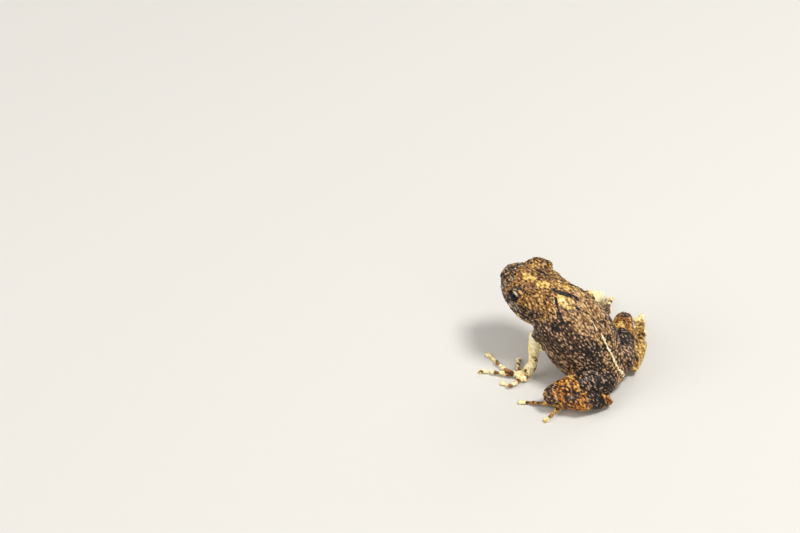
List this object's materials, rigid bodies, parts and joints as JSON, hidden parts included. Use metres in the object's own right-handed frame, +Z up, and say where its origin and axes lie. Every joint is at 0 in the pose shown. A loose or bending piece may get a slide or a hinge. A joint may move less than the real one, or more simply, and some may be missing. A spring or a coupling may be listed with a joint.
{
  "type": "common dink frog",
  "caption": "Small rough-skinned rain frog sitting up on its hands with folded hind legs, head raised and turned a little to its left.",
  "frame": {"origin": "middle of the bounding box's base, on the floor that the frog rests on", "axes": "+Z up; the trunk faces -Y with the head turned slightly to +X; +X is the frog's left, and the box is longest along X, across the spread feet"},
  "size_m": [0.0214, 0.0166, 0.0112],
  "materials": {
    "skin": "damp, finely granular living skin, brown with tan granules, ochre head, cream forearms and orange-banded legs",
    "eyes": "wet and glossy, dark"
  },
  "bodies": {
    "root": {"torso": "skin", "head": "skin", "eye_left": "eyes", "eye_right": "eyes", "upper_arm_left": "skin", "forearm_left": "skin", "hand_left": "skin", "thigh_left": "skin", "shank_left": "skin", "foot_left": "skin", "upper_arm_right": "skin", "forearm_right": "skin", "hand_right": "skin", "thigh_right": "skin", "shank_right": "skin", "foot_right": "skin"}
  },
  "joints": []
}
